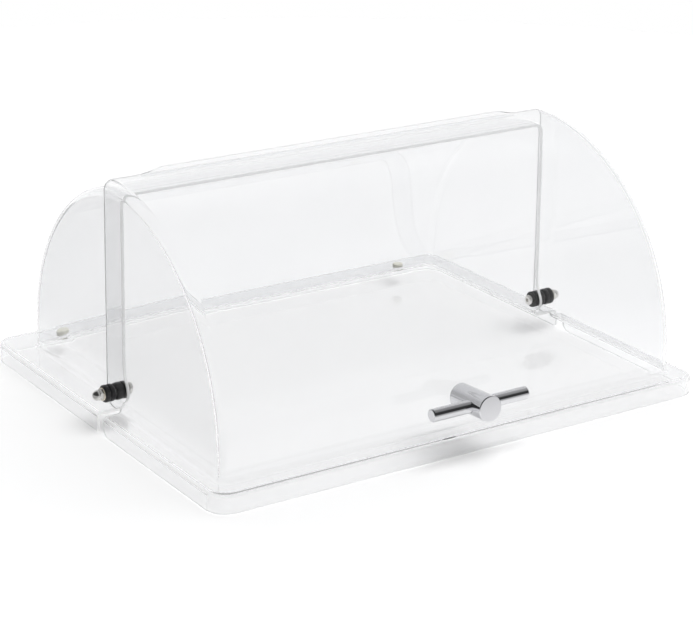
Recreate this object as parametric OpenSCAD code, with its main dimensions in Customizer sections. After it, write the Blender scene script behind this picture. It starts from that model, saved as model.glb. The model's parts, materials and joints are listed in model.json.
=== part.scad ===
// Countertop bread display cover: a fixed clear rear half and a clear front half that swings
// up and back over it on two pivot screws. Lengths in millimetres, Z up, X along the pivot line.
// The origin lies on the table, under the middle of the whole object (rims and handle).

/* [Covers] */
// length of both rims along the pivot line
rim_l = 530; // [460:5:640]
// depth of the two rims together, closed
rim_d = 440; // [380:5:500]
// height of the rims: table to the top of the ledge
rim_h = 19; // [16:0.5:24]
// thickness of the clear sheet
wall = 3; // [2:0.25:4]
// plan radius of the rim corners
corner_r = 20; // [14:1:30]
// rounding where the ledge turns down into the skirt
rim_round = 5; // [4.5:0.5:7]
// width of the ledge in front of the front cover
ledge_front = 22.5; // [16:0.5:30]
// width of the ledge beside the front cover
ledge_side = 18; // [14:0.5:24]
// rounding between the curved wall and the side walls
edge_r = 9; // [6:0.5:10]
// fillet between the walls and the ledge
foot_r = 3.5; // [2:0.5:4]

/* [Swing] */
// height of the pivot line over the table
pivot_h = 34.5; // [33:0.5:42]
// how far the rear cover reaches forward of the pivot line
rear_reach = 4; // [2:0.5:7]
// free space between the two curved walls
nest_gap = 9; // [6:0.5:12]
// free space between the side walls, taken up by the rubber spacers
side_gap = 7.5; // [5:0.5:9]
// end of the front rim, ahead of the pivot line
front_end = 14; // [10:0.5:20]
// end of the rear rim, ahead of the pivot line
rear_end = 3; // [1:0.5:5]
// rounding of the lower corner at the ends of the front rim
front_end_r = 9; // [5:0.5:12]
// rounding of the lower corner at the ends of the rear rim
rear_end_r = 3; // [2:0.5:5]
// height of the stiffening lip along the rear edge of the front cover
lip_h = 5; // [3:0.5:8]

/* [Pivots] */
// diameter of the pivot screws
shank_d = 5.9; // [4.9:0.1:6.9]
// diameter of the rubber rings
ring_d = 16.4; // [15:0.2:18]
// thickness of each of the two outer rubber rings
ring_t = 4.9; // [3:0.1:6]
// thickness of the inner rubber ring under the screw head
seat_t = 2.5; // [1.5:0.1:4]
// radial running clearance of the front cover on its screws
run_gap = 0.05; // [0.02:0.01:0.1]

/* [Handle] */
// diameter of the post
post_d = 24; // [18:0.5:26]
// length of the post, wall to front face
post_len = 45; // [38:1:50]
// diameter of the cross bar
bar_d = 12; // [8:0.5:13]
// length of the cross bar
bar_len = 104; // [80:2:130]
// place of the cross bar along the post
bar_at = 0.62; // [0.5:0.01:0.7]
// rise of the handle on the curved wall, as an angle from the pivot line
handle_rise = 3.5; // [1:0.1:8]

/* [Bumpers] */
// diameter of the soft stops behind the rear cover
bumper_d = 11; // [8:0.5:12]
// height of the soft stops
bumper_h = 4; // [3:0.25:5]
// distance of each soft stop from the end of the rim
bumper_in = 65; // [50:5:120]

/* [Hidden] */
$fn = 72;
hx = rim_l / 2;
hy = rim_d / 2;
front_r = hy - ledge_front;
front_x = hx - ledge_side;
rear_r = front_r - wall - nest_gap;
rear_x = front_x - wall - side_gap;
drop = pivot_h - rim_h;
ear_gap = 0.5;
ear_r = drop - ear_gap;
rear_ear_r = drop - 3.5;
// the flat rear edge of the front cover meets the soft stops when it has swung through ninety
// degrees, so its reach back past the pivot line follows from their height
stop_gap = 0.05;
overlap = drop - bumper_h - stop_gap;
side_play = 0.2;
shank_r = shank_d / 2;
bore_r = shank_r + run_gap;
// pivot stack, from the inside outwards along X
seat_x = rear_x - wall - seat_t;
spacer_x = rear_x;
spacer_t = side_gap - side_play;
outer_x = front_x + side_play;
washer_x = outer_x + 2 * ring_t;
washer_t = 1.3;
nut_x = washer_x + washer_t;
nut_hex_t = 3.2;
nut_af = shank_d + 4;
dome_r = 4.8;
nut_len = nut_hex_t + dome_r + 1;
head_r = shank_d * 0.88;
head_h = 4.6;
// handle
post_r = post_d / 2;
post_round = 0.8;
screw_r = 2.5;
screw_bite = 14;
// flat rubber pad under the screw head: its edge just touches the hollow of the curved wall
pad_r = 7;
pad_t = 1.5;
pad_z = sqrt(pow(front_r - wall, 2) - pow(pad_r, 2)) - pad_t - 0.01;
out_r = front_r + post_len;
reach = (out_r - post_round) * cos(handle_rise) + (post_r - post_round) * sin(handle_rise) + post_round;
pivot_y = (reach - hy) / 2;
bumper_x = hx - bumper_in;
bumper_y = front_r - wall / 2;
far = 2 * (hx + hy);

// One half of a rounded block, from y = -dy to y = y_end, with its upper outer edge rounded.
module half_slab(dx, dy, top, cr, er, y_end) {
  translate([-(dx - cr), 0, 0])
    rotate([90, 0, 90])
      linear_extrude(2 * (dx - cr)) {
        translate([-dy, 0]) square([dy + y_end, top - er]);
        translate([-(dy - er), 0]) square([dy - er + y_end, top]);
        translate([-(dy - er), top - er]) circle(er);
      }
  translate([0, y_end, 0])
    rotate([90, 0, 0])
      linear_extrude(dy - cr + y_end) {
        translate([-dx, 0]) square([2 * dx, top - er]);
        translate([-(dx - er), 0]) square([2 * (dx - er), top]);
        for (s = [-1, 1]) translate([s * (dx - er), top - er]) circle(er);
      }
  for (s = [-1, 1])
    translate([s * (dx - cr), -(dy - cr), 0])
      rotate_extrude() {
        square([cr, top - er]);
        square([cr - er, top]);
        translate([cr - er, top - er]) circle(er);
      }
}

// Solid under one curved wall: a turned barrel with rounded rims above the pivot line and the
// same outline carried straight down below it. It runs from y = -r to y = y_end.
module half_barrel(dx, r, er, below, y_end) {
  intersection() {
    rotate([0, 90, 0])
      rotate_extrude() {
        translate([0, -dx]) square([r - er, 2 * dx]);
        translate([0, -(dx - er)]) square([r, 2 * (dx - er)]);
        for (s = [-1, 1]) translate([r - er, s * (dx - er)]) circle(er);
      }
    translate([-far / 2, -r - 1, 0]) cube([far, r + 1 + y_end, r + 1]);
  }
  translate([0, 0, -below])
    linear_extrude(below) {
      translate([-dx, -(r - er)]) square([2 * dx, r - er + y_end]);
      translate([-(dx - er), -r]) square([2 * (dx - er), r + y_end]);
      for (s = [-1, 1]) translate([s * (dx - er), -(r - er)]) circle(er);
    }
}

// Concave fillet section: the corner of a square left over beside a circle.
module fillet_section(fr) {
  difference() {
    translate([-0.5, -0.5]) square(fr + 0.5);
    translate([fr, fr]) circle(fr);
  }
}

// Fillet run round the foot of a barrel, on top of the ledge at z = 0.
module foot_fillet(dx, r, er, fr, y_end) {
  translate([-(dx - er), -r, 0])
    rotate([90, 0, 90])
      linear_extrude(2 * (dx - er)) mirror([1, 0]) fillet_section(fr);
  for (s = [-1, 1]) {
    translate([s * dx, y_end, 0])
      rotate([90, 0, 0])
        linear_extrude(r - er + y_end) mirror([s < 0 ? 1 : 0, 0]) fillet_section(fr);
    translate([s * (dx - er), -(r - er), 0])
      rotate([0, 0, s < 0 ? 180 : 270])
        rotate_extrude(angle = 90) translate([er, 0]) fillet_section(fr);
  }
}

// Rounds the lower corner of a rim end: removes what lies outside a quarter circle.
module end_round(y_end, r) {
  translate([-far / 2, y_end, 0])
    rotate([90, 0, 90])
      linear_extrude(far) difference() {
        translate([-r, -1]) square([r + 1, r + 1]);
        translate([-r, r]) circle(r);
      }
}

// Cross bores of both pivots.
module pivot_bores(r) {
  rotate([0, 90, 0]) cylinder(r = r, h = far, center = true);
}

// Axis turned onto the post of the handle: local Z points out of the curved front wall.
module on_post() {
  rotate([90 - handle_rise, 0, 0]) children();
}

module front_shell() {
  color([0.9, 0.93, 0.95, 0.35])
    translate([0, pivot_y, pivot_h])
      difference() {
        union() {
          half_barrel(front_x, front_r, edge_r, drop, 0);
          // band behind the pivot line that overlaps the rear cover
          intersection() {
            rotate([0, 90, 0])
              rotate_extrude() {
                translate([0, -front_x]) square([front_r - edge_r, 2 * front_x]);
                translate([0, -(front_x - edge_r)]) square([front_r, 2 * (front_x - edge_r)]);
                for (s = [-1, 1]) translate([front_r - edge_r, s * (front_x - edge_r)]) circle(edge_r);
              }
            translate([-far / 2, -0.5, 0]) cube([far, overlap + 0.5, front_r + 1]);
          }
          // ears round the pivots
          intersection() {
            rotate([0, 90, 0]) cylinder(r = ear_r, h = 2 * front_x, center = true);
            translate([-far / 2, 0, -ear_r - 1]) cube([far, overlap, ear_r + 2]);
          }
          translate([0, 0, -pivot_h]) half_slab(hx, hy, rim_h, corner_r, rim_round, -front_end);
          translate([0, 0, -drop]) foot_fillet(front_x, front_r, edge_r, foot_r, -front_end);
          stiff_lip();
        }
        half_barrel(front_x - wall, front_r - wall, edge_r - wall, pivot_h + 1, overlap + 1);
        translate([0, 0, -pivot_h - 1])
          half_slab(hx - wall, hy - wall, rim_h - wall + 1, corner_r - wall, rim_round - wall, 1);
        // the side walls stay clear of the rear ledge
        translate([-far / 2, -front_end, -drop - 1]) cube([far, far, 1 + ear_gap]);
        translate([0, 0, -pivot_h]) end_round(-front_end, front_end_r);
        pivot_bores(bore_r);
        on_post() cylinder(r = screw_r + 0.4, h = front_r + 2);
      }
}

// Upturned lip along the rear edge of the front cover, ramped down at both ends.
module stiff_lip() {
  full = 0.75 * front_x;
  ramp = 0.86 * front_x;
  top = front_r + lip_h;
  low = front_r - wall;
  intersection() {
    translate([0, overlap, 0])
      rotate([90, 0, 0])
        linear_extrude(wall + 5)
          polygon([[-ramp, low], [ramp, low], [ramp, front_r - 0.4], [full, top], [-full, top], [-ramp, front_r - 0.4]]);
    translate([-front_x, 0, 0])
      rotate([90, 0, 90])
        linear_extrude(2 * front_x) {
          translate([overlap - wall, low]) square([wall, wall + lip_h - 1]);
          translate([overlap - wall + 1, low]) square([wall - 2, wall + lip_h]);
          for (k = [1, wall - 1]) translate([overlap - wall + k, top - 1]) circle(1);
          translate([overlap - wall, front_r - 0.6])
            mirror([1, 0]) fillet_section(4);
        }
  }
}

module rear_shell() {
  color([0.9, 0.93, 0.95, 0.35])
    translate([0, pivot_y, pivot_h])
      difference() {
        union() {
          mirror([0, 1, 0]) half_barrel(rear_x, rear_r, edge_r, drop, rear_reach);
          // ears round the pivots, ahead of the straight front edge
          rotate([0, 90, 0]) cylinder(r = rear_ear_r, h = 2 * rear_x, center = true);
          mirror([0, 1, 0]) translate([0, 0, -pivot_h]) half_slab(hx, hy, rim_h, corner_r, rim_round, rear_end);
          mirror([0, 1, 0]) translate([0, 0, -drop]) foot_fillet(rear_x, rear_r, edge_r, foot_r, rear_end);
        }
        mirror([0, 1, 0])
          half_barrel(rear_x - wall, rear_r - wall, edge_r - wall, pivot_h + 1, rear_ear_r + 1);
        mirror([0, 1, 0]) translate([0, 0, -pivot_h - 1])
          half_slab(hx - wall, hy - wall, rim_h - wall + 1, corner_r - wall, rim_round - wall, rear_end + 1);
        mirror([0, 1, 0]) translate([0, 0, -pivot_h]) end_round(rear_end, rear_end_r);
        // below the ears the side walls end with the rim
        translate([-far / 2, -far - rear_end, -drop - 1]) cube([far, far, 1 + drop - rear_ear_r]);
        pivot_bores(bore_r);
      }
}

// Places a piece of the pivot on side s, with local Z pointing outwards from x0.
module on_pivot(s, x0) {
  translate([s * x0, pivot_y, pivot_h]) rotate([0, s * 90, 0]) children();
}

// Round-edged rubber ring with a bore.
module rubber_ring(t, r, er) {
  color([0.05, 0.05, 0.05])
    difference() {
      rotate_extrude() {
        square([r - er, t]);
        translate([0, er]) square([r, t - 2 * er]);
        for (z = [er, t - er]) translate([r - er, z]) circle(er);
      }
      translate([0, 0, -1]) cylinder(r = bore_r, h = t + 2);
    }
}

module pivot_screw(s) {
  color([0.72, 0.7, 0.66])
    on_pivot(s, seat_x) {
      cylinder(r = shank_r, h = nut_x + nut_hex_t + 1 - seat_x);
      difference() {
        translate([0, 0, -head_h])
          rotate_extrude() {
            translate([0, 1.6]) square([head_r, head_h - 1.6]);
            square([head_r - 1.6, head_h]);
            translate([head_r - 1.6, 1.6]) circle(1.6);
          }
        translate([0, 0, -head_h - 1]) cylinder(r = 2.3, h = 3.4, $fn = 6);
      }
    }
}

module cap_nut(s) {
  color([0.75, 0.73, 0.7])
    on_pivot(s, nut_x)
      difference() {
        union() {
          cylinder(r = nut_af / sqrt(3), h = nut_hex_t, $fn = 6);
          cylinder(r = dome_r, h = nut_len - dome_r);
          translate([0, 0, nut_len - dome_r]) sphere(r = dome_r);
        }
        translate([0, 0, -dome_r]) cylinder(r = bore_r, h = nut_hex_t + 1.5 + dome_r);
        translate([-far / 2, -far / 2, -far]) cube([far, far, far]);
      }
}

module steel_washer(s) {
  color([0.8, 0.76, 0.68])
    on_pivot(s, washer_x)
      difference() {
        cylinder(r = 6.3, h = washer_t);
        translate([0, 0, -1]) cylinder(r = bore_r, h = washer_t + 2);
      }
}

module outer_ring_a(s) {
  on_pivot(s, outer_x) rubber_ring(ring_t, ring_d / 2, 0.8);
}

module outer_ring_b(s) {
  on_pivot(s, outer_x + ring_t) rubber_ring(ring_t, ring_d / 2, 0.8);
}

module spacer_ring(s) {
  on_pivot(s, spacer_x) rubber_ring(spacer_t, ring_d / 2, 0.8);
}

module inner_ring(s) {
  on_pivot(s, seat_x) rubber_ring(seat_t, ring_d / 2, 0.8);
}

module handle_post() {
  color([0.8, 0.82, 0.84])
    translate([0, pivot_y, pivot_h])
      on_post()
        difference() {
          translate([0, 0, front_r - 1])
            rotate_extrude() {
              square([post_r, post_len + 1 - post_round]);
              square([post_r - post_round, post_len + 1]);
              translate([post_r - post_round, post_len + 1 - post_round]) circle(post_round);
            }
          rotate([0, 90, 0]) cylinder(r = front_r + 0.01, h = far, center = true);
          translate([0, 0, front_r - 2]) cylinder(r = screw_r + 0.05, h = screw_bite + 3);
          translate([0, 0, front_r + post_len * bar_at]) rotate([0, 90, 0]) cylinder(r = bar_d / 2 + 0.05, h = far, center = true);
        }
}

module handle_bar() {
  color([0.8, 0.82, 0.84])
    translate([0, pivot_y, pivot_h])
      on_post()
        translate([-bar_len / 2, 0, front_r + post_len * bar_at])
          rotate([0, 90, 0])
            rotate_extrude() {
              square([bar_d / 2 - 1.2, bar_len]);
              translate([0, 1.2]) square([bar_d / 2, bar_len - 2.4]);
              for (z = [1.2, bar_len - 1.2]) translate([bar_d / 2 - 1.2, z]) circle(1.2);
            }
}

module handle_washer() {
  color([0.05, 0.05, 0.05])
    translate([0, pivot_y, pivot_h])
      on_post()
        translate([0, 0, pad_z])
          difference() {
            cylinder(r = pad_r, h = pad_t);
            translate([0, 0, -1]) cylinder(r = screw_r + 0.05, h = pad_t + 2);
          }
}

module handle_screw() {
  color([0.72, 0.7, 0.66])
    translate([0, pivot_y, pivot_h])
      on_post()
        translate([0, 0, pad_z])
          difference() {
            union() {
              cylinder(r = screw_r, h = pad_t + wall + screw_bite);
              translate([0, 0, -3])
                rotate_extrude() {
                  translate([0, 1.2]) square([4.6, 1.8]);
                  square([3.4, 3]);
                  translate([3.4, 1.2]) circle(1.2);
                }
            }
            translate([0, 0, -4]) cylinder(r = 1.8, h = 2.8, $fn = 6);
          }
}

module bumper(s) {
  color([0.93, 0.92, 0.84, 0.6])
    translate([s * bumper_x, pivot_y + bumper_y, rim_h])
      rotate_extrude() {
        square([bumper_d / 2, bumper_h - 1.2]);
        square([bumper_d / 2 - 1.2, bumper_h]);
        translate([bumper_d / 2 - 1.2, bumper_h - 1.2]) circle(1.2);
      }
}

rear_shell();
front_shell();
handle_post();
handle_bar();
handle_screw();
handle_washer();
pivot_screw(-1);  // left_pivot_screw
cap_nut(-1);  // left_cap_nut
steel_washer(-1);  // left_steel_washer
outer_ring_a(-1);  // left_outer_ring_a
outer_ring_b(-1);  // left_outer_ring_b
spacer_ring(-1);  // left_spacer_ring
inner_ring(-1);  // left_inner_ring
pivot_screw(1);  // right_pivot_screw
cap_nut(1);  // right_cap_nut
steel_washer(1);  // right_steel_washer
outer_ring_a(1);  // right_outer_ring_a
outer_ring_b(1);  // right_outer_ring_b
spacer_ring(1);  // right_spacer_ring
inner_ring(1);  // right_inner_ring
bumper(-1);  // left_bumper
bumper(1);  // right_bumper
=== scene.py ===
# %% [markdown]
# # A countertop bread display cover
# Two clear barrel-shaped halves stand on a table. The rear half stays put. The front half turns
# on two pivot screws and swings up and back over it, lifted by a chrome T handle.
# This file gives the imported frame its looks, cell by cell. X runs along the pivot line, -Y points
# to the handle and Z points up. Shapes are worked out in millimetres and placed in metres.

# %% The frame
import json
import math

import bpy
import numpy as np
from mathutils import Matrix, Vector


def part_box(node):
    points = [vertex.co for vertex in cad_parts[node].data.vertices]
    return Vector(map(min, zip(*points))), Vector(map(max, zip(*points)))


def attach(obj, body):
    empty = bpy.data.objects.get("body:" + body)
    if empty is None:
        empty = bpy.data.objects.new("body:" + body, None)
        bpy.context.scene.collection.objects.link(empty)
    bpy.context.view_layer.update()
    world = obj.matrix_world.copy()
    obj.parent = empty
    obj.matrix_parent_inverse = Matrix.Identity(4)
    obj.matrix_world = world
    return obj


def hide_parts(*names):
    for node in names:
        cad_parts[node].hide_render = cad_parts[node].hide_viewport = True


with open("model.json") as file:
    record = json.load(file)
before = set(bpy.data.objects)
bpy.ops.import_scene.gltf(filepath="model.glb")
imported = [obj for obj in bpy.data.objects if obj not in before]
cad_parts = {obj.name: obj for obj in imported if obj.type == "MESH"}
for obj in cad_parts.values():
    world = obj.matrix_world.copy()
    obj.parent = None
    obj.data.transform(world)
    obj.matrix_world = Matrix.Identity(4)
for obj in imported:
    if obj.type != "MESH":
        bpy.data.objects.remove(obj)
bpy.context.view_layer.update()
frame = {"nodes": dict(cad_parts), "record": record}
nodes = frame["nodes"]
part_of = {part["node"]: part for part in frame["record"]["subparts"]}

# %% [markdown]
# ## Sizes
# Each cover is one sheet, bent round soft corners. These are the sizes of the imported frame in
# millimetres, read from its boxes where a box gives them. Both covers are described facing -Y,
# round the pivot line, and the rear one is turned about when it is placed.
#
# - half, radius: half the width of the cover, and the radius of its curved wall, both outside
# - bend, foot: radii of the bends beside the curved wall, and of the fillet at the walls' foot
# - reach, ear: how far the walls go past the pivot line, and the radius of the ear round the hole
# - free: height of the side wall's free lower edge, if it has one
# - end, end_round: where the rim ends, and the radius at the end of its skirt
# - lip: 1 if the curved wall's rear edge is turned up

# %% Sizes of the two covers
MM = 0.001
front_low, front_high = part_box("front_shell")
rear_low, rear_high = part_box("rear_shell")
PIVOT_Y = (front_low.y + rear_high.y) / 2 / MM
PIVOT_Z = 34.5
RIM_H = 19.0
RIM_ROUND = 5.0
CORNER_R = 20.0
SHEET = 3.0
RIM_X, RIM_Y = front_high.x / MM, rear_high.y / MM - PIVOT_Y

FRONT = dict(half=247.0, radius=197.5, bend=9.0, foot=3.5, reach=11.45, ear=15.0, free=-15.0,
             end=-14.0, end_round=9.0, lip=1)
REAR = dict(half=236.5, radius=185.5, bend=9.0, foot=3.5, reach=4.0, ear=12.0, free=None,
            end=3.0, end_round=3.0, lip=0)
print("pivot line at y", round(PIVOT_Y, 3), "rims", round(2 * RIM_X, 1), "by", round(2 * RIM_Y, 1))

# %% [markdown]
# ## A bent sheet from parameter grids
# Each cover's outer skin is three kinds of grid that share their border points: the barrel with
# its rounded rims, the two flat sides, and the ledge with its turned-down skirt. The skin keeps
# an exact normal at every point, so its inner face is the skin moved one sheet thickness along
# the normal, and the cut edge is a strip with two small quarter rounds.

# %% The barrel grid
LIP_ROWS, TURN_ROWS, DROP_ROWS = 7, 84, 4
BEND_STEPS, RUN_STEPS = 9, 120
LIP_LENGTH = 7.0
LIP_FROM = 4.5
LIP_END, LIP_RAMP = 0.86, 0.11


def barrel_columns(c):
    """Places across the barrel: x, distance from the pivot line, and the normal's two parts.
    A rim column at bend angle t has x = half - bend + bend cos t and
    r = radius - bend + bend sin t."""
    t = np.linspace(0, math.pi / 2, BEND_STEPS + 1)
    a, r, f = c["half"], c["radius"], c["bend"]
    x_rim, r_rim = a - f + f * np.cos(t), r - f + f * np.sin(t)
    run = np.linspace(-(a - f), a - f, RUN_STEPS + 1)[1:-1]
    x = np.concatenate([-x_rim, run, x_rim[::-1]])
    d = np.concatenate([r_rim, np.full(run.size, r), r_rim[::-1]])
    nx = np.concatenate([-np.cos(t), np.zeros(run.size), np.cos(t)[::-1]])
    nd = np.concatenate([np.sin(t), np.ones(run.size), np.sin(t)[::-1]])
    return x, d, nx, nd


def lip_share(c, x):
    """How far the rear edge is turned up at x: 0 near the ends, 1 in the middle, and a smooth
    ramp s = 3u^2 - 2u^3 between, where u grows inwards from LIP_END over LIP_RAMP of half."""
    u = np.clip((LIP_END * c["half"] - np.abs(x)) / (LIP_RAMP * c["half"]), 0, 1)
    return (3 * u ** 2 - 2 * u ** 3) * c["lip"]


def barrel_grid(c):
    """Outer points and normals, row by row from the rear edge over the crown to the foot.
    The lip rows are a walk of equal steps whose heading turns from the barrel's own slope to
    upright. The turn rows lie on circles round the pivot line: y = -d cos turn, z = d sin turn.
    The drop rows go straight down."""
    x, d, nx, nd = barrel_columns(c)
    up = lip_share(c, x) * math.pi / 2
    step = LIP_LENGTH / LIP_ROWS
    slope = np.arcsin(LIP_FROM / d)
    last = up - slope * (1 - up / (math.pi / 2))
    share = np.clip((np.arange(LIP_ROWS) + 0.5) / (LIP_ROWS - 1), 0, 1)
    heading = -slope[None] + (last + slope)[None] * share[:, None]
    walk_y = np.cumsum(step * np.cos(heading), 0)
    walk_z = np.cumsum(step * np.sin(heading), 0)
    y0 = c["reach"] - walk_y[-1] - SHEET * np.sin(last) * (last > 0)
    start = math.pi / 2 + np.arcsin(y0 / d)
    z0 = d * np.sin(start)
    points, normals = [], []
    for k in reversed(range(LIP_ROWS)):
        h = last if k == LIP_ROWS - 1 else (heading[k] + heading[k + 1]) / 2
        points.append(np.stack([x, y0 + walk_y[k], z0 + walk_z[k]], -1))
        normals.append(np.stack([nx, -np.sin(h) * nd, np.cos(h) * nd], -1))
    for k in range(TURN_ROWS + 1):
        turn = start * (1 - k / TURN_ROWS)
        points.append(np.stack([x, -d * np.cos(turn), d * np.sin(turn)], -1))
        normals.append(np.stack([nx, -nd * np.cos(turn), nd * np.sin(turn)], -1))
    low = -(PIVOT_Z - RIM_H - c["foot"])
    for k in range(1, DROP_ROWS + 1):
        points.append(np.stack([x, -d, np.full_like(x, low * k / DROP_ROWS)], -1))
        normals.append(np.stack([nx, -nd, 0 * x], -1))
    return np.array(points), np.array(normals)


# %% The flat sides
HOLE_R = 3.0
INSET = 0.85
RAY_ROWS = 11
FOOT_STEPS = 40
FREE_STEPS, FREE_EAR_STEPS, FREE_RISE_STEPS = 9, 10, 40
EAR_STEPS, NECK_STEPS, RISE_STEPS = 14, 18, 30
NECK_TOP, NECK_FALL = 34.0, 12.0
BLUNTEST = 0.6


def foot_line(c):
    """Distances along the side wall's foot, from the front corner to the end of the rim, with
    steps of about 1 mm where the end of the skirt is rounded."""
    corner, start = -(c["radius"] - c["bend"]), c["end"] - c["end_round"]
    fine = np.linspace(start, c["end"], int(c["end_round"]) + 1)[1:]
    return np.concatenate([np.linspace(corner, start, FOOT_STEPS), fine])


def arc(radius, angles):
    """Points (radius cos a, radius sin a)."""
    return np.stack([radius * np.cos(angles), radius * np.sin(angles)], -1)


def side_outline(c, barrel):
    """The closed outline of a side wall as (y, z) round the pivot: the barrel's own border, the
    foot, the round ear and the rear edge. With a free lower edge, the outline first rises from
    the foot by 3 u^2. Without one, the ear's width fades upwards by exp(-(z / NECK_FALL)^2)."""
    low, top = barrel[-1, 0, 2], barrel[0, 0, 2]
    ear, reach, end = c["ear"], c["reach"], c["end"]
    foot = foot_line(c)[1:]
    parts = [barrel[:, 0, 1:], np.stack([foot, np.full(foot.size, low)], -1)]
    if c["free"] is not None:
        u = np.linspace(0, 1, FREE_STEPS)[1:]
        rise = low + (c["free"] - low) * np.minimum(3 * u ** 2, 1)
        parts.append(np.stack([end - end * u, rise], -1))
        turn = np.linspace(-math.pi / 2, -math.acos(reach / ear), FREE_EAR_STEPS)
        parts.append(arc(ear, turn[1:]))
        z = np.linspace(parts[-1][-1, 1], top, FREE_RISE_STEPS)[1:-1]
        parts.append(np.stack([np.full(z.size, reach), z], -1))
    else:
        turn = np.linspace(-math.acos(end / ear), 0, EAR_STEPS)
        parts.append(arc(ear, turn[1:]))
        z = np.concatenate([np.linspace(0, NECK_TOP, NECK_STEPS)[1:],
                            np.linspace(NECK_TOP, top, RISE_STEPS)[1:-1]])
        parts.append(np.stack([reach + (ear - reach) * np.exp(-(z / NECK_FALL) ** 2), z], -1))
    return np.concatenate(parts)


def side_grid(c, barrel, sign):
    """Rays from a ring round the pivot hole to the outline moved inwards: (1 - s) ring + s inset.
    The hole itself and the outline itself are the first and the last row."""
    rim = side_outline(c, barrel)
    edge = np.roll(rim, -1, 0) - rim
    edge /= np.linalg.norm(edge, axis=1)[:, None]
    inward = np.stack([-edge[:, 1], edge[:, 0]], -1)
    inward = inward + np.roll(inward, 1, 0)
    inward /= np.maximum((inward ** 2).sum(1) / 2, BLUNTEST)[:, None]
    if (inward * rim).sum() > 0:
        inward = -inward
    inset = rim + INSET * inward
    rim, inset = (np.concatenate([v, v[:1]]) for v in (rim, inset))
    ray = inset / np.linalg.norm(inset, axis=1)[:, None]
    s = np.linspace(0, 1, RAY_ROWS)[:, None, None]
    hole, ring = HOLE_R * ray, (HOLE_R + INSET) * ray
    flat = np.concatenate([hole[None], ring[None] * (1 - s) + inset[None] * s, rim[None]])
    x = np.full(flat.shape[:2], sign * c["half"])
    points = np.concatenate([x[..., None], flat], -1)
    normals = np.zeros_like(points)
    normals[..., 0] = sign
    return points, normals


# %% The ledge and the skirt
FILLET_ROWS, SHOULDER_ROWS = 8, 9
LEDGE_SHARES = (0.06, 0.35, 0.65, 0.94)
SKIRT_SHARES = (0.08, 0.4, 0.75, 1.0)


def ledge_path(c):
    """The foot of the walls as a path from the left rim end round the front to the right one,
    with its outward normals, the matching path along the rim's outer edge, and how far each
    point is from the rim's end."""
    x, d, nx, nd = barrel_columns(c)
    side = foot_line(c)[::-1][:-1]
    ax, ay = RIM_X - CORNER_R, -(RIM_Y - CORNER_R)
    inner = np.stack([x, -d], -1)
    normal = np.stack([nx, -nd], -1)
    x_out = np.where(np.abs(nx) > 0, np.sign(nx) * ax, x * ax / (c["half"] - c["bend"]))
    outer = np.stack([x_out, np.full_like(x, ay)], -1) + CORNER_R * normal
    scale = (ay - c["end"]) / (-(c["radius"] - c["bend"]) - c["end"])
    y_out = c["end"] + (side - c["end"]) * scale
    left = np.stack([np.full(side.size, -c["half"]), side], -1)
    left_out = np.stack([np.full(side.size, -RIM_X), y_out], -1)
    flip = np.array([-1.0, 1.0])
    n_left = np.tile([-1.0, 0.0], (side.size, 1))
    inner = np.concatenate([left, inner, (left * flip)[::-1]])
    outer = np.concatenate([left_out, outer, (left_out * flip)[::-1]])
    normal = np.concatenate([n_left, normal, (n_left * flip)[::-1]])
    return inner, outer, normal, c["end"] - inner[:, 1]


def ledge_grid(c):
    """Rows from the wall outwards: the concave foot fillet, the flat ledge, the rounded shoulder
    and the skirt. The skirt's lower edge rises on a quarter circle near the rim's ends."""
    inner, outer, n, away = ledge_path(c)
    top = -(PIVOT_Z - RIM_H)
    f, e, r = c["foot"], RIM_ROUND, c["end_round"]
    points, normals = [], []

    def row(plan, z, out, rise):
        points.append(np.concatenate([plan, np.broadcast_to(z, (len(plan),))[:, None]], 1))
        normals.append(np.concatenate([n * out, np.full((len(plan), 1), rise)], 1))

    for t in np.linspace(0, math.pi / 2, FILLET_ROWS):
        row(inner + n * f * (1 - math.cos(t)), top + f - f * math.sin(t), math.cos(t), math.sin(t))
    for s in LEDGE_SHARES:
        row((inner + n * f) * (1 - s) + (outer - n * e) * s, top, 0, 1)
    for t in np.linspace(0, math.pi / 2, SHOULDER_ROWS):
        row(outer - n * e * (1 - math.sin(t)), top - e * (1 - math.cos(t)),
            math.sin(t), math.cos(t))
    turn = (1 - np.clip(away / r, 0, 1)) * math.pi / 2
    lower = outer.copy()
    lower[:, 1] = np.where(away < r - 1e-6, c["end"] - r * (1 - np.sin(turn)), outer[:, 1])
    bottom = -PIVOT_Z + r * (1 - np.cos(turn))
    for s in SKIRT_SHARES:
        row(outer * (1 - s) + lower * s, (top - e) * (1 - s) + bottom * s, 1, 0)
    return np.array(points), np.array(normals)


# %% [markdown]
# ## From grids to a closed sheet
# The grids are welded where their borders meet, and the edge that stays open is closed by the
# cut edge, which has a second, frosted material.

# %% Welding grids
def weld(grids):
    """Joins grids of (points, normals, flip) into one list of points, normals and quads.
    Border points that fall together become one point."""
    points, normals, quads, base = [], [], [], 0
    for p, n, flip in grids:
        rows, cols = p.shape[:2]
        i = base + np.arange(rows * cols).reshape(rows, cols)
        q = np.stack([i[:-1, :-1], i[:-1, 1:], i[1:, 1:], i[1:, :-1]], -1).reshape(-1, 4)
        quads.append(q[:, ::-1] if flip else q)
        points.append(p.reshape(-1, 3))
        normals.append(n.reshape(-1, 3))
        base += rows * cols
    points, normals, quads = (np.concatenate(v) for v in (points, normals, quads))
    _, first, back = np.unique(np.round(points, 4), axis=0, return_index=True, return_inverse=True)
    return points[first], normals[first], back.reshape(-1)[quads]


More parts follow.
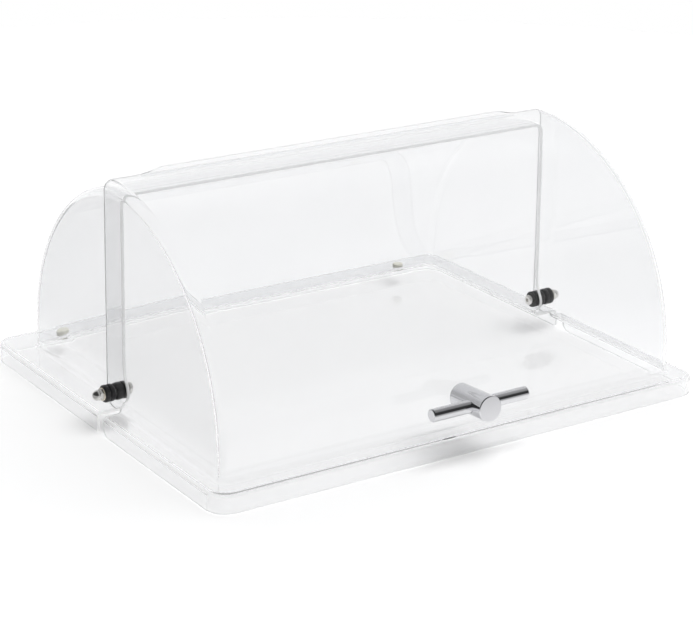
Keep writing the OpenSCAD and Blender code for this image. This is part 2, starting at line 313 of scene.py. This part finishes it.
def border(quads):
    """Directed edges that only one quad uses, and that quad."""
    edges = np.concatenate([quads[:, [k, (k + 1) % 4]] for k in range(4)])
    owner = np.tile(np.arange(len(quads)), 4)
    keep = edges[:, 0] != edges[:, 1]
    edges, owner = edges[keep], owner[keep]
    _, back, count = np.unique(np.sort(edges, 1), axis=0, return_inverse=True, return_counts=True)
    lone = count[back.reshape(-1)] == 1
    return edges[lone], owner[lone]


def out_of_sheet(p, n, quads, edges, owner):
    """For each border point the unit vector that leads out of the sheet: the mean of its edges'
    own directions, edge x normal turned away from the quad, less its part along the normal."""
    run = p[edges[:, 1]] - p[edges[:, 0]]
    out = np.cross(run, n[edges].mean(1))
    inward = p[quads[owner]].mean(1) - p[edges].mean(1)
    out *= -np.sign((out * inward).sum(1))[:, None]
    out /= np.maximum(np.linalg.norm(out, axis=1), 1e-9)[:, None]
    c = np.zeros_like(p)
    for k in (0, 1):
        np.add.at(c, edges[:, k], out)
    rim = np.unique(edges)
    c[rim] -= (c[rim] * n[rim]).sum(1)[:, None] * n[rim]
    c[rim] /= np.maximum(np.linalg.norm(c[rim], axis=1)[:, None], 1e-9)
    return c, rim


# %% A closed sheet
EDGE_ROUND = 0.6
EDGE_TURNS = np.radians([30, 60, 90])
LEAN = 0.012
LEAN_FROM = 16.0


def lean_in(verts, norms):
    """The side walls lean in above LEAN_FROM, as the sheet leaves its mould: x shrinks by
    LEAN height / RIM_X."""
    height = np.maximum(verts[:, 2] - LEAN_FROM, 0)
    verts[:, 0] *= 1 - LEAN * height / RIM_X
    norms[:, 2] += LEAN * np.abs(norms[:, 0]) * (height > 0)
    norms /= np.linalg.norm(norms, axis=1)[:, None]


def open_edges(mesh):
    """How many edges don't have exactly two faces."""
    count = {}
    for poly in mesh.polygons:
        for key in poly.edge_keys:
            count[key] = count.get(key, 0) + 1
    return sum(1 for v in count.values() if v != 2)


def sheet_mesh(name, grids, place):
    """A closed sheet: outer skin, inner skin one thickness along the normals, and the cut edge.
    With c the direction out of the sheet at its border and n the normal, the edge's profile is
    two quarter circles, centre + EDGE_ROUND (n cos t + c sin t), joined by a flat."""
    p, n, quads = weld(grids)
    n /= np.linalg.norm(n, axis=1)[:, None]
    edges, owner = border(quads)
    c, rim = out_of_sheet(p, n, quads, edges, owner)
    skin = p.copy()
    skin[rim] -= EDGE_ROUND * c[rim]
    inner = skin - SHEET * n
    layers, layer_n = [], []
    outer_centre = p - EDGE_ROUND * c - EDGE_ROUND * n
    inner_centre = p - EDGE_ROUND * c - (SHEET - EDGE_ROUND) * n
    for centre, turns in ((outer_centre, EDGE_TURNS),
                          (inner_centre, EDGE_TURNS + math.pi / 2 - EDGE_TURNS[0])):
        for t in turns:
            away = n * math.cos(t) + c * math.sin(t)
            layers.append((centre + EDGE_ROUND * away)[rim])
            layer_n.append(away[rim])
    where = np.full(len(p), -1)
    where[rim] = np.arange(len(rim))
    rings = [2 * len(p) + k * len(rim) + where[edges] for k in range(len(layers))]
    rings = [edges] + rings + [edges + len(p)]
    strip = [np.stack([a[:, 1], a[:, 0], b[:, 0], b[:, 1]], 1)
             for a, b in zip(rings[:-1], rings[1:])]
    verts, norms = np.concatenate([skin, inner] + layers), np.concatenate([n, -n] + layer_n)
    faces = np.concatenate([quads, quads[:, ::-1] + len(p)] + strip)
    cut = np.zeros(len(faces), int)
    cut[2 * len(quads):] = 1
    lean_in(verts, norms)
    verts, norms = place(verts), place(norms, False)
    mesh = bpy.data.meshes.new(name)
    faces = [[v for k, v in enumerate(f) if v != f[k - 1]] for f in faces.tolist()]
    mesh.from_pydata((verts * MM).tolist(), [], faces)
    mesh.polygons.foreach_set("material_index", cut)
    mesh.polygons.foreach_set("use_smooth", np.ones(len(faces), bool))
    mesh.update()
    mesh.normals_split_custom_set_from_vertices(norms.tolist())
    piece = bpy.data.objects.new(name, mesh)
    bpy.context.collection.objects.link(piece)
    print(name, len(verts), "points,", len(faces), "faces, open edges:", open_edges(mesh))
    return piece


# %% The two covers
def front_place(v, moved=True):
    """Local coordinates round the pivot line to the part's own."""
    return v + np.array([0, PIVOT_Y, PIVOT_Z]) * moved


def rear_place(v, moved=True):
    """The same for the rear cover, which is built facing the other way."""
    return v * np.array([1.0, -1.0, 1.0]) + np.array([0, PIVOT_Y, PIVOT_Z]) * moved


def cover(name, c, place, mirrored):
    """One cover from its sizes."""
    barrel, barrel_n = barrel_grid(c)
    grids = [(barrel, barrel_n, mirrored),
             (*side_grid(c, barrel, -1.0), not mirrored),
             (*side_grid(c, barrel, 1.0), mirrored),
             (*ledge_grid(c), mirrored)]
    return sheet_mesh(name, grids, place)


front_cover = cover("front_cover_sheet", FRONT, front_place, True)
rear_cover = cover("rear_cover_sheet", REAR, rear_place, False)
for piece, node, body in ((front_cover, "front_shell", "front_cover"),
                          (rear_cover, "rear_shell", "rear_cover")):
    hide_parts(node)
    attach(piece, body)

# %% [markdown]
# ## The small turned pieces
# The rubber rings bulge between their faces, and the cap nuts have a hexagon with cone-cut
# corners under a round dome. Both are grids of rows (along X) by bearings (round X).

# %% Surfaces round the pivot line
BEARINGS = 96
AROUND = np.linspace(0, 2 * math.pi, BEARINGS + 1)[:-1]


def round_grid(name, rows, radii, closed, crease):
    """A closed surface from rows of x and rows of radii, both in millimetres round the pivot line.
    closed joins the last row to the first; otherwise the end rows close on a pole and a lid.
    Edges that bend by more than crease degrees stay sharp."""
    x = np.broadcast_to(np.asarray(rows, float)[:, None], radii.shape)
    points = np.stack([x, PIVOT_Y + radii * np.cos(AROUND), PIVOT_Z + radii * np.sin(AROUND)], -1)
    n = len(points)
    i = np.arange(n * BEARINGS).reshape(n, BEARINGS)
    j = np.roll(i, -1, 1)
    quads = []
    for k in range(n if closed else n - 1):
        after = (k + 1) % n
        quads += np.stack([i[k], j[k], j[after], i[after]], -1).tolist()
    verts = points.reshape(-1, 3)
    if not closed:
        verts = np.concatenate([verts, [[x[-1, 0], PIVOT_Y, PIVOT_Z]]])
        quads += [[a, b, n * BEARINGS] for a, b in zip(i[-1], j[-1])]
        quads.append(i[0][::-1].tolist())
    mesh = bpy.data.meshes.new(name)
    mesh.from_pydata((verts * MM).tolist(), [], quads)
    mesh.polygons.foreach_set("use_smooth", np.ones(len(quads), bool))
    mesh.update()
    turn_out(mesh)
    mesh.set_sharp_from_angle(angle=math.radians(crease))
    piece = bpy.data.objects.new(name, mesh)
    bpy.context.collection.objects.link(piece)
    return piece


def turn_out(mesh):
    """Turns the faces out if the signed volume, the sum of a . (b x c) / 6, is negative."""
    mesh.calc_loop_triangles()
    co = np.array([v.co[:] for v in mesh.vertices])
    tri = np.array([t.vertices[:] for t in mesh.loop_triangles])
    a, b, c = co[tri[:, 0]], co[tri[:, 1]], co[tri[:, 2]]
    if (a * np.cross(b, c)).sum() < 0:
        mesh.flip_normals()
    mesh.update()


# %% Rings and cap nuts
RING_BORE, RING_MOUTH, RING_CHAMFER = 3.05, 3.3, 0.25
RING_STEPS = 25
BULGE_SHARE, BULGE_MOST = 0.7, 1.5
NUT_TALL, NUT_FACE, NUT_CONE = 3.2, 4.4, 1.7
DOME_R = 4.8
NUT_STEPS, DOME_STEPS = 15, 18


def rubber_ring(node):
    """A ring with a full round outside: x = middle + half sin^0.8 a and
    r = R - bulge (1 - cos^0.7 a)."""
    low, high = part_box(node)
    x0, x1, r1 = low.x / MM, high.x / MM, (high.z - low.z) / 2 / MM
    half, middle = (x1 - x0) / 2, (x0 + x1) / 2
    bulge = min(BULGE_MOST, half * BULGE_SHARE)
    a = np.linspace(-math.pi / 2, math.pi / 2, RING_STEPS)
    x = middle + half * np.sign(np.sin(a)) * np.abs(np.sin(a)) ** 0.8
    r = r1 - bulge * (1 - np.clip(np.cos(a), 0, 1) ** 0.7)
    rows = np.concatenate([x, [x1, x1 - RING_CHAMFER, x0 + RING_CHAMFER, x0]])
    radii = np.concatenate([r, [RING_MOUTH, RING_BORE, RING_BORE, RING_MOUTH]])
    radii = np.broadcast_to(radii[:, None], (len(rows), BEARINGS))
    return round_grid(node + "_piece", rows, radii, True, 50)


def cap_nut(node, side):
    """Hexagon radius h = (flats / 2) / cos(bearing to the nearest flat), cut by a cone near both
    faces, then a neck and a dome r = R cos a, x = x0 + R sin a."""
    low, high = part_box(node)
    base, tip = ((low.x, high.x) if side > 0 else (high.x, low.x))
    base, tip = base / MM, tip / MM
    flats, tall = (high.y - low.y) / MM, abs(tip - base)
    hexagon = flats / 2 / np.cos((AROUND + math.pi / 6) % (math.pi / 3) - math.pi / 6)
    rows, radii = [0.0], [np.full(BEARINGS, NUT_FACE)]
    for u in np.linspace(0, NUT_TALL, NUT_STEPS):
        rows.append(u)
        radii.append(np.minimum(hexagon, flats / 2 + 0.05 + NUT_CONE * min(u, NUT_TALL - u)))
    for u, r in ((NUT_TALL, DOME_R + 0.04), (NUT_TALL + 0.3, DOME_R - 0.08),
                 (tall - DOME_R, DOME_R - 0.02)):
        rows.append(u)
        radii.append(np.full(BEARINGS, r))
    for a in np.linspace(0, math.pi / 2, DOME_STEPS)[1:-1]:
        rows.append(tall - DOME_R + DOME_R * math.sin(a))
        radii.append(np.full(BEARINGS, DOME_R * math.cos(a)))
    rows.append(tall)
    radii.append(np.full(BEARINGS, 0.02))
    return round_grid(node + "_piece", base + side * np.array(rows), np.array(radii), False, 26)


small_pieces = {}
for side, word in ((-1, "left"), (1, "right")):
    for ring_name in ("outer_ring_a", "outer_ring_b", "spacer_ring", "inner_ring"):
        small_pieces[f"{word}_{ring_name}"] = rubber_ring(f"{word}_{ring_name}")
    small_pieces[f"{word}_cap_nut"] = cap_nut(f"{word}_cap_nut", side)
for node, piece in small_pieces.items():
    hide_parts(node)
    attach(piece, "rear_cover")
print("turned pieces:", len(small_pieces))

# %% [markdown]
# ## Surfaces
# Every finish varies a little over the object: the clear sheet has faint handling marks, the
# turned metal has fine rings round its own axis, the rubber has a grain. One shader node group
# makes these variations from the object's own coordinates.

# %% The marks group
def link(tree, a, b):
    """Joins two sockets."""
    tree.links.new(a, b)


def stretched(tree, source, scale, rotation=(0, 0, 0)):
    """Coordinates drawn out and turned."""
    node = tree.nodes.new("ShaderNodeMapping")
    node.inputs["Scale"].default_value = scale
    node.inputs["Rotation"].default_value = rotation
    link(tree, source, node.inputs["Vector"])
    return node.outputs[0]


def marks_group():
    """Patches, scratches, rings and grain: a node group with four values between 0 and 1."""
    group = bpy.data.node_groups.new("surface_marks", "ShaderNodeTree")
    out = group.nodes.new("NodeGroupOutput")
    where = group.nodes.new("ShaderNodeTexCoord").outputs["Object"]
    along = stretched(group, where, (40.0, 900.0, 400.0), (0.3, 0.5, 0.9))
    round_x = stretched(group, where, (6000.0, 90.0, 90.0))
    for label, source, scale, detail in (("Patches", where, 14.0, 5.0),
                                         ("Scratches", along, 1.0, 3.0),
                                         ("Rings", round_x, 1.0, 2.0),
                                         ("Grain", where, 2600.0, 2.0)):
        group.interface.new_socket(label, in_out="OUTPUT", socket_type="NodeSocketFloat")
        noise = group.nodes.new("ShaderNodeTexNoise")
        noise.inputs["Scale"].default_value = scale
        noise.inputs["Detail"].default_value = detail
        link(group, source, noise.inputs["Vector"])
        link(group, noise.outputs["Fac"], out.inputs[label])
    return group


MARKS = marks_group()
print("marks:", [item.name for item in MARKS.interface.items_tree])


# %% Small helpers for shader nodes
def new_material(name):
    """An empty material with its node tree, its output and the marks group."""
    mat = bpy.data.materials.new(name)
    mat.use_nodes = True
    tree = mat.node_tree
    tree.nodes.clear()
    out = tree.nodes.new("ShaderNodeOutputMaterial")
    marks = tree.nodes.new("ShaderNodeGroup")
    marks.node_tree = MARKS
    return mat, tree, out, marks


def principled(tree, **values):
    """A Principled BSDF with the values of the named sockets set on it."""
    bsdf = tree.nodes.new("ShaderNodeBsdfPrincipled")
    for key, value in values.items():
        bsdf.inputs[key.replace("_", " ")].default_value = value
    return bsdf


def spread(tree, source, low, high, source_low=0.3, source_high=0.7):
    """A value moved from the source's own range to low..high."""
    node = tree.nodes.new("ShaderNodeMapRange")
    for label, value in (("From Min", source_low), ("From Max", source_high),
                         ("To Min", low), ("To Max", high)):
        node.inputs[label].default_value = value
    link(tree, source, node.inputs["Value"])
    return node.outputs[0]


def between(tree, source, dark, light):
    """A colour between dark and light by the source's value."""
    ramp = tree.nodes.new("ShaderNodeValToRGB")
    for element, position, color in zip(ramp.color_ramp.elements, (0.3, 0.7), (dark, light)):
        element.position, element.color = position, (*color, 1)
    link(tree, source, ramp.inputs["Fac"])
    return ramp.outputs["Color"]


def math_node(tree, kind, a, b=None):
    """One step of arithmetic; a and b are sockets or numbers."""
    node = tree.nodes.new("ShaderNodeMath")
    node.operation = kind
    for k, v in enumerate((a, b)):
        if isinstance(v, (int, float)):
            node.inputs[k].default_value = v
        elif v is not None:
            link(tree, v, node.inputs[k])
    return node.outputs[0]


def mixed(tree, share, first, second):
    """A blend of two shaders: first where share is 0, second where it is 1."""
    mix = tree.nodes.new("ShaderNodeMixShader")
    for socket, source in zip(mix.inputs, (share, first, second)):
        link(tree, source, socket)
    return mix.outputs[0]


def relief(tree, source, depth, strength):
    """A normal from the source's value as a height."""
    bump = tree.nodes.new("ShaderNodeBump")
    bump.inputs["Distance"].default_value = depth
    bump.inputs["Strength"].default_value = strength
    link(tree, source, bump.inputs["Height"])
    return bump.outputs["Normal"]


def finished(tree, bsdf, colors, rough, colored_by, rough_by, raised_by, depth, strength):
    """Ties a surface's colour, roughness and relief to the marks."""
    link(tree, between(tree, colored_by, *colors), bsdf.inputs["Base Color"])
    link(tree, spread(tree, rough_by, *rough), bsdf.inputs["Roughness"])
    link(tree, relief(tree, raised_by, depth, strength), bsdf.inputs["Normal"])


# %% Clear plastic, skin and cut edge
LONGEST = 12.5


def see_through(name, colors, rough, transmission, shade, depth):
    """Clear plastic that bends light for the eye and lets most of it straight through to the
    table. A path of more than LONGEST bounces goes straight on too, so bends don't turn black."""
    mat, tree, out, marks = new_material(name)
    bsdf = principled(tree, IOR=1.49, Transmission_Weight=transmission)
    patches, scratches = marks.outputs["Patches"], marks.outputs["Scratches"]
    finished(tree, bsdf, colors, rough, patches, scratches, patches, depth, 0.05)
    see = tree.nodes.new("ShaderNodeBsdfTransparent")
    see.inputs["Color"].default_value = (shade, shade, shade, 1)
    path = tree.nodes.new("ShaderNodeLightPath")
    tired = math_node(tree, "GREATER_THAN", path.outputs["Ray Depth"], LONGEST)
    straight = math_node(tree, "MAXIMUM", path.outputs["Is Shadow Ray"], tired)
    link(tree, mixed(tree, straight, bsdf.outputs[0], see.outputs[0]), out.inputs["Surface"])
    return mat


clear = see_through("clear_sheet", ((0.937, 0.940, 0.945), (0.949, 0.951, 0.955)), (0.0, 0.03),
                    transmission=1.0, shade=0.995, depth=0.0002)
cut = see_through("cut_edge", ((0.95, 0.953, 0.955), (0.98, 0.982, 0.983)), (0.35, 0.45),
                  transmission=0.25, shade=0.92, depth=0.0001)


# %% Metals, rubber, silicone
def metal(name, colors, rough, pattern):
    """Polished or turned metal with a relief of a few hundredths of a millimetre."""
    mat, tree, out, marks = new_material(name)
    bsdf, by = principled(tree, Metallic=1.0), marks.outputs[pattern]
    finished(tree, bsdf, colors, rough, by, by, by, 0.00002, 0.2)
    link(tree, bsdf.outputs[0], out.inputs["Surface"])
    return mat


def soft(name, colors, rough, depth, **values):
    """A soft moulded piece with a fine grain."""
    mat, tree, out, marks = new_material(name)
    bsdf, grain = principled(tree, **values), marks.outputs["Grain"]
    finished(tree, bsdf, colors, rough, grain, marks.outputs["Patches"], grain, depth, 0.4)
    link(tree, bsdf.outputs[0], out.inputs["Surface"])
    return mat


chrome = metal("chrome_plate", ((0.70, 0.70, 0.72), (0.77, 0.77, 0.79)), (0.02, 0.06), "Patches")
steel = metal("bright_steel", ((0.68, 0.67, 0.65), (0.78, 0.77, 0.75)), (0.10, 0.20), "Rings")
warm_steel = metal("warm_steel", ((0.74, 0.67, 0.56), (0.84, 0.78, 0.68)), (0.14, 0.26), "Rings")
rubber = soft("black_rubber", ((0.008, 0.008, 0.009), (0.018, 0.018, 0.019)), (0.30, 0.45), 0.00004)
silicone = soft("soft_silicone", ((0.90, 0.88, 0.74), (0.95, 0.94, 0.84)), (0.20, 0.32), 0.00003,
                IOR=1.42, Transmission_Weight=0.25)

looks = {"clear_plastic": clear, "chrome_plate": chrome, "steel": steel, "washer_steel": warm_steel,
         "black_rubber": rubber, "soft_silicone": silicone}
for node, part in part_of.items():
    nodes[node].material_slots[0].material = looks[part["material_slot"]]
for piece in (front_cover, rear_cover):
    piece.data.materials.append(clear)
    piece.data.materials.append(cut)
for node, piece in small_pieces.items():
    piece.data.materials.append(looks[part_of[node]["material_slot"]])
print("materials:", sorted(looks))

# %% [markdown]
# ## Table, room and light
# A glossy white table, a white backdrop behind, a dark room in front: the clear sheet then shows
# its edges and bends instead of the lamps.

# %% Table
TABLE_R, TABLE_STEPS, TABLE_Z = 1.6, 96, -0.0002
TABLE_TONE, POLISH = 0.99, 0.9
POLISH_OUT, POLISH_IN = 0.020, 0.026
# painted shade in mirrored views of the table: the ray lengths over which it fades in, and its
# strength left of the covers
FAR_FROM, FAR_TO = 0.10, 0.36
LEFT_PAINTED_SHADE, LEFT_RAMP = 0.95, 0.04

table_mesh = bpy.data.meshes.new("table_top")
ring = [(TABLE_R * math.cos(a), TABLE_R * math.sin(a), TABLE_Z)
        for a in np.linspace(0, 2 * math.pi, TABLE_STEPS + 1)[:-1]]
table_mesh.from_pydata(ring, [], [tuple(range(TABLE_STEPS))])
table_top = bpy.data.objects.new("table_top", table_mesh)
bpy.context.collection.objects.link(table_top)
white, tree, out, marks = new_material("table_white")
bsdf = principled(tree, Base_Color=(TABLE_TONE, TABLE_TONE, TABLE_TONE, 1), IOR=1.01,
                  Coat_Roughness=0.0, Coat_IOR=1.45)
link(tree, spread(tree, marks.outputs["Patches"], 0.30, 0.31), bsdf.inputs["Roughness"])
# the polish is on the part of the table that the covers stand over
spot = tree.nodes.new("ShaderNodeSeparateXYZ")
link(tree, tree.nodes.new("ShaderNodeTexCoord").outputs["Object"], spot.inputs[0])
under_x, under_y = (spread(tree, math_node(tree, "ABSOLUTE", spot.outputs[axis]), 1.0, 0.0,
                           half * MM - POLISH_IN, half * MM - POLISH_OUT)
                    for axis, half in ((0, RIM_X), (1, RIM_Y)))
polish = math_node(tree, "MULTIPLY", math_node(tree, "MULTIPLY", under_x, under_y), POLISH)
link(tree, polish, bsdf.inputs["Coat Weight"])
# painted shade: a mirrored view of the table far away, or left of the covers, meets a grey diffuse
# colour in place of the white table, a painted dark reflection
shade = tree.nodes.new("ShaderNodeBsdfDiffuse")
shade.inputs["Color"].default_value = (0.40, 0.40, 0.405, 1)
path = tree.nodes.new("ShaderNodeLightPath")
mirrored = math_node(tree, "MINIMUM", path.outputs["Glossy Depth"], 1.0)
inside = math_node(tree, "MINIMUM", path.outputs["Transmission Depth"], 1.0)
far = math_node(tree, "MULTIPLY", math_node(tree, "SUBTRACT", 1.0, inside),
                spread(tree, path.outputs["Ray Length"], 0.0, 1.0, FAR_FROM, FAR_TO))
# painted shade also lies on the table left of the covers, for mirrored views only
left = spread(tree, spot.outputs[0], LEFT_PAINTED_SHADE, 0.0, -RIM_X * MM - LEFT_RAMP, -RIM_X * MM)
share = math_node(tree, "MULTIPLY", mirrored, math_node(tree, "MAXIMUM", far, left))
link(tree, mixed(tree, share, bsdf.outputs[0], shade.outputs[0]), out.inputs["Surface"])
table_mesh.materials.append(white)
print("table:", TABLE_STEPS, "corners, radius", TABLE_R)

# %% Room
ROOM_WHITE, ROOM_DARK, ROOM_UPPER, ROOM_FLOOR = 0.80, 0.04, 0.30, 0.45
INSIDE_WHITE = 0.5

world = bpy.data.worlds.new("studio")
bpy.context.scene.world = world
world.use_nodes = True
tree = world.node_tree
tree.nodes.clear()
parts = tree.nodes.new("ShaderNodeSeparateXYZ")
link(tree, tree.nodes.new("ShaderNodeTexCoord").outputs["Generated"], parts.inputs[0])
ahead = math_node(tree, "ADD", math_node(tree, "MULTIPLY", parts.outputs[0], 0.75),
                  math_node(tree, "MULTIPLY", parts.outputs[1], 0.66))
behind = spread(tree, ahead, 0.0, ROOM_WHITE, 0.05, 0.42)
level = spread(tree, parts.outputs[2], 1.0, ROOM_UPPER, 0.70, 0.85)
low = spread(tree, parts.outputs[2], ROOM_FLOOR, 0.0, 0.02, 0.16)
glow = math_node(tree, "ADD", math_node(tree, "MULTIPLY", behind, level),
                 math_node(tree, "ADD", low, ROOM_DARK))
glow = math_node(tree, "MINIMUM", glow, 1.0)
tint = tree.nodes.new("ShaderNodeCombineColor")
link(tree, math_node(tree, "MULTIPLY", glow, 0.985), tint.inputs[0])
link(tree, math_node(tree, "MULTIPLY", glow, 0.99), tint.inputs[1])
link(tree, glow, tint.inputs[2])
room = tree.nodes.new("ShaderNodeBackground")
link(tree, tint.outputs[0], room.inputs["Color"])
paper = tree.nodes.new("ShaderNodeBackground")
paper.inputs["Color"].default_value = (1, 1, 1, 1)
# straight views see white paper, mirrored and scattered ones see the room
path = tree.nodes.new("ShaderNodeLightPath")
mirrored, scattered, inside = (math_node(tree, "MINIMUM", path.outputs[label], 1.0) for label in
                               ("Glossy Depth", "Diffuse Depth", "Transmission Depth"))
kept = math_node(tree, "SUBTRACT", 1.0, math_node(tree, "MULTIPLY", inside, INSIDE_WHITE))
share = math_node(tree, "MAXIMUM", scattered, math_node(tree, "MULTIPLY", mirrored, kept))
out = tree.nodes.new("ShaderNodeOutputWorld")
link(tree, mixed(tree, share, paper.outputs[0], room.outputs[0]), out.inputs["Surface"])
print("room:", len(tree.nodes), "nodes")

# %% Light
SUN_POWER, SUN_SPREAD = 2.74, 60
sun = bpy.data.lights.new("soft_sun", "SUN")
sun.energy, sun.angle = SUN_POWER, math.radians(SUN_SPREAD)
sun_holder = bpy.data.objects.new("soft_sun", sun)
bpy.context.collection.objects.link(sun_holder)
sun_holder.rotation_euler = Vector((0.25, -0.35, 1.0)).to_track_quat("Z", "Y").to_euler()
sun_holder.visible_glossy = False
sun_holder.visible_transmission = False
print("sun:", SUN_POWER, "over", SUN_SPREAD, "degrees")

# %% [markdown]
# ## Camera
# The lens and the place were fitted to the photo's own points. Yaw, pitch and roll are radians.

# %% Camera
FOCAL_PX, PHOTO_W, SENSOR_MM = 2220.3, 693.0, 36.0
YAW, PITCH, ROLL = 0.5835, 0.3488, 0.0120
TARGET, DISTANCE = Vector((-0.0166, PIVOT_Y * MM - 0.0352, 0.080)), 2.0943

forward = Vector((math.sin(YAW) * math.cos(PITCH), math.cos(YAW) * math.cos(PITCH),
                  -math.sin(PITCH)))
right = Vector((math.cos(YAW), -math.sin(YAW), 0))
up = right.cross(forward)
right, up = (math.cos(ROLL) * right + math.sin(ROLL) * up,
             -math.sin(ROLL) * right + math.cos(ROLL) * up)
lens = bpy.data.cameras.new("photo_camera")
lens.sensor_width = SENSOR_MM
lens.lens = FOCAL_PX * SENSOR_MM / PHOTO_W
camera = bpy.data.objects.new("photo_camera", lens)
bpy.context.collection.objects.link(camera)
turn = Matrix((right, up, -forward)).transposed().to_4x4()
camera.matrix_world = Matrix.Translation(TARGET - forward * DISTANCE) @ turn
scene = bpy.context.scene
scene.camera = camera
scene.view_settings.view_transform = "Standard"
scene.cycles.max_bounces = 32
scene.cycles.transmission_bounces = 32
scene.cycles.glossy_bounces = 12
print("camera: lens", round(lens.lens, 1), "mm at", [round(v, 3) for v in camera.location])
